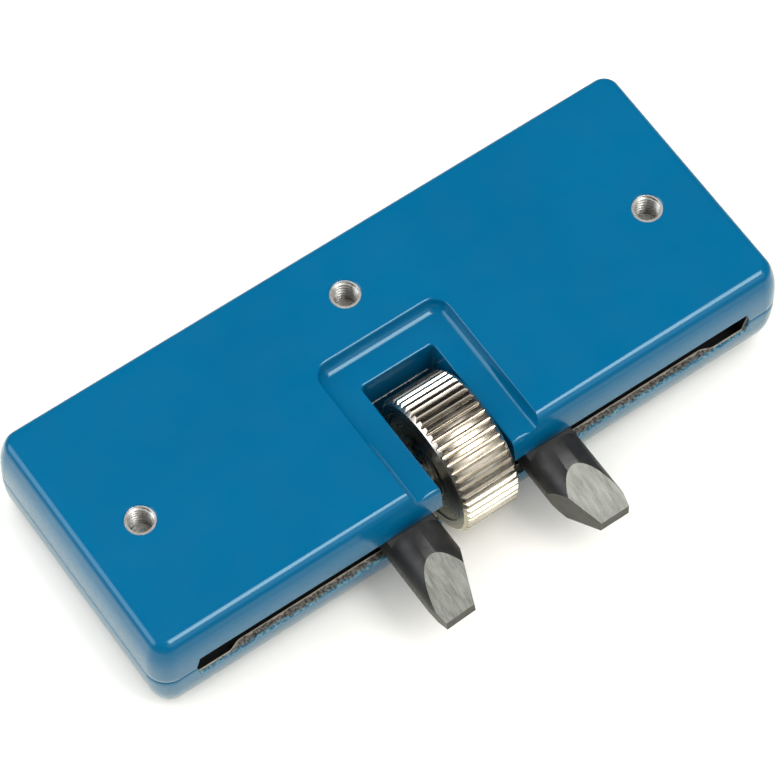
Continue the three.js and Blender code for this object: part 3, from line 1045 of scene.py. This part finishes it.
def add_camera():
    azimuth, elevation, roll = (math.radians(CAMERA[k]) for k in ("azimuth", "elevation", "roll"))
    back = Vector(
        (
            math.sin(azimuth) * math.cos(elevation),
            -math.cos(azimuth) * math.cos(elevation),
            math.sin(elevation),
        )
    )
    level = Vector((math.cos(azimuth), math.sin(azimuth), 0))
    upright = back.cross(level)
    right = math.cos(roll) * level + math.sin(roll) * upright
    up = -math.sin(roll) * level + math.cos(roll) * upright
    position = Vector(CAMERA["target"]) + back * CAMERA["distance"]
    data = bpy.data.cameras.new("camera")
    data.lens = CAMERA["lens"]
    data.sensor_width = CAMERA["sensor"]
    data.clip_start = CAMERA["nearest"]
    camera = bpy.data.objects.new("camera", data)
    turn = Matrix((right, up, back)).transposed().to_4x4()
    camera.matrix_world = Matrix.Translation(position * MM) @ turn
    bpy.context.scene.collection.objects.link(camera)
    bpy.context.scene.camera = camera


# ---- Studio ----

FLOOR_SIZE = 3000
FLOOR_GAP = 0.03
CARD = (0.9, 0.885, 0.83)
CARD_GRAIN = (0.89, 0.875, 0.82)
CARD_REFLECTED = (0.84, 0.83, 0.69)
DARK_TABLE = (0.05, 0.05, 0.05)
CARD_REACH = (8, 40)  # from the body, where the card starts and ends fading in reflections


def floor_material():
    """White card. Reflections see it only near the tool, as if the table were small."""
    material, tree, shader = principled("floor", CARD, 0.0, 0.55)
    shader.inputs["Specular IOR Level"].default_value = 0.2
    place = object_coordinates(tree)
    card = two_tone(tree, noise(tree, place, scale=300), *MIDDLE, CARD, CARD_GRAIN)
    plan = vector_maths(tree, "ABSOLUTE", vector_maths(tree, "MULTIPLY", place, (1, 1, 0)))
    past_body = vector_maths(tree, "SUBTRACT", plan, (RIGHT * MM, BACK * MM, 0))
    apart = vector_maths(tree, "LENGTH", vector_maths(tree, "MAXIMUM", past_body, (0, 0, 0)))
    fade = remap(tree, apart, *(reach * MM for reach in CARD_REACH), 0, 1)
    glossy_ray = node(tree, "ShaderNodeLightPath").outputs["Is Glossy Ray"]
    unseen = maths(tree, "MULTIPLY", fade, glossy_ray)
    seen = mix_colour(tree, glossy_ray, card, CARD_REFLECTED)
    feed(tree, shader, Base_Color=mix_colour(tree, unseen, seen, DARK_TABLE))
    return material


def add_floor():
    """The tool lies on its wheel and on the rear bottom edge, so the floor touches both."""
    edge = Vector((0, BACK - DRAFT - EDGE_RADIUS, EDGE_RADIUS))
    reach = edge - AXIS
    slope = math.atan2(reach.z, reach.y) + math.asin((WHEEL_RADIUS - EDGE_RADIUS) / reach.length)
    normal = Vector((0, -math.sin(slope), math.cos(slope)))
    along = Vector((0, math.cos(slope), math.sin(slope)))
    touch = AXIS - normal * (WHEEL_RADIUS + FLOOR_GAP)
    half = FLOOR_SIZE / 2
    side = Vector((half, 0, 0))
    corners = [touch + x * side + y * half * along for x, y in ((-1, -1), (1, -1), (1, 1), (-1, 1))]
    floor = mesh_object("floor", corners, [[0, 1, 2, 3]], [floor_material()])


OVERHEAD = {"direction": (-0.25, 0.35, 1), "distance": 600, "size": (500, 420), "power": 1.3}


def add_overhead():
    """A soft light from above that gives shade but isn't seen in reflections."""
    data = bpy.data.lights.new("overhead", "AREA")
    data.shape = "RECTANGLE"
    data.size, data.size_y = (side * MM for side in OVERHEAD["size"])
    data.energy = OVERHEAD["power"]
    light = bpy.data.objects.new("overhead", data)
    position = Vector(OVERHEAD["direction"]).normalized() * OVERHEAD["distance"]
    light.location = position * MM
    light.rotation_euler = position.to_track_quat("Z", "Y").to_euler()
    light.visible_glossy = False
    bpy.context.scene.collection.objects.link(light)


# Round panels seen in reflections: direction, angles where they start and end fading, colour.
PANELS = [
    ((0.26, -0.8, 0.54), 18, 32, (1.0, 1.0, 0.98)),
    ((-0.82, 0.39, 0.42), 14, 28, (3.0, 3.1, 3.3)),
]
# Upright strip seen in reflections, by its X and its Y over Z: middle, half width, fade.
STRIP_X = (0.26, 0.13, 0.08)
STRIP_RISE = (-0.5, 0.36, 0.16)
STRIP_COLOUR = (9.5, 9.5, 9.5)
ROOM_LOW = (0.12, 0.12, 0.12)
ROOM_HIGH = (0.008, 0.008, 0.009)
ROOM_RISE = 0.35  # height of the direction where the room is at its darkest
FILL_LOW = (0.5, 0.5, 0.5)
FILL_HIGH = (1.65, 1.65, 1.65)
BACKDROP = (0.93, 0.93, 0.92)


def within(tree, value, middle, half, fade):
    """1 while the value is within half of the middle, and 0 past the fade."""
    away = maths(tree, "ABSOLUTE", maths(tree, "SUBTRACT", value, middle))
    return remap(tree, away, half, half + fade, 1, 0)


def add_world():
    """Reflections see panels in a dark room, and surfaces are filled evenly from above."""
    world = bpy.data.worlds.new("studio")
    bpy.context.scene.world = world
    world.use_nodes = True
    tree = world.node_tree
    direction = node(tree, "ShaderNodeTexCoord").outputs["Generated"]
    towards = node(tree, "ShaderNodeSeparateXYZ", {"Vector": direction}).outputs
    height = towards["Z"]
    glow = two_tone(tree, height, 0.0, ROOM_RISE, ROOM_LOW, ROOM_HIGH)
    for middle, inner, outer, colour in PANELS:
        facing = vector_maths(tree, "DOT_PRODUCT", direction, middle)
        edge = [math.cos(math.radians(angle)) for angle in (outer, inner)]
        glow = two_tone(tree, facing, *edge, glow, colour)
    across = within(tree, towards["X"], *STRIP_X)
    along = within(tree, maths(tree, "DIVIDE", towards["Y"], height), *STRIP_RISE)
    above = maths(tree, "GREATER_THAN", height, 0.0)
    strip = maths(tree, "MULTIPLY", maths(tree, "MULTIPLY", across, along), above)
    glow = mix_colour(tree, strip, glow, STRIP_COLOUR)
    fill = two_tone(tree, height, 0, 1, FILL_LOW, FILL_HIGH)
    rays = node(tree, "ShaderNodeLightPath").outputs
    glow = mix_colour(tree, rays["Is Diffuse Ray"], glow, fill)
    glow = mix_colour(tree, rays["Is Camera Ray"], glow, BACKDROP)
    background = tree.nodes["Background"]
    tree.links.new(glow, background.inputs["Color"])


add_camera()
add_floor()
add_world()
add_overhead()
bpy.context.scene.view_settings.view_transform = "Standard"
